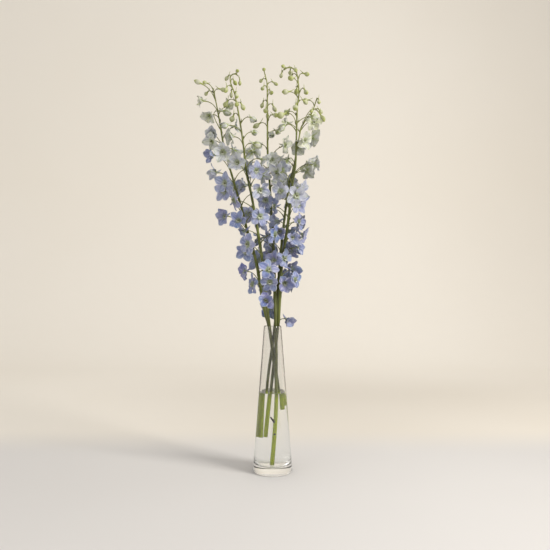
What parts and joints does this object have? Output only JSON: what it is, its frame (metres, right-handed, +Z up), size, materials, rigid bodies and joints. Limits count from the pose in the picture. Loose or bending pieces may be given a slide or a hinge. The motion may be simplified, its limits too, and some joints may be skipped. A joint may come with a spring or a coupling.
{
  "type": "delphinium spikes in vase",
  "caption": "Tall clear glass bottle vase half filled with water, holding cut delphinium stems whose blue florets pale to green buds towards arching tips",
  "frame": {"origin": "middle of the vase's underside, on the surface it stands on", "axes": "+Z up along the vase's axis, front of the bouquet towards -Y"},
  "size_m": [0.2605, 0.1592, 0.8161],
  "materials": {
    "vase_glass": "gloss",
    "water": "gloss",
    "florets_left": "satin",
    "florets_front": "satin",
    "florets_centre": "satin",
    "florets_right": "satin",
    "florets_back": "satin"
  },
  "bodies": {
    "root": {"vase": "vase_glass", "water": "water", "spike_left": "florets_left", "spike_front": "florets_front", "spike_centre": "florets_centre", "spike_right": "florets_right", "spike_back": "florets_back"}
  },
  "joints": []
}
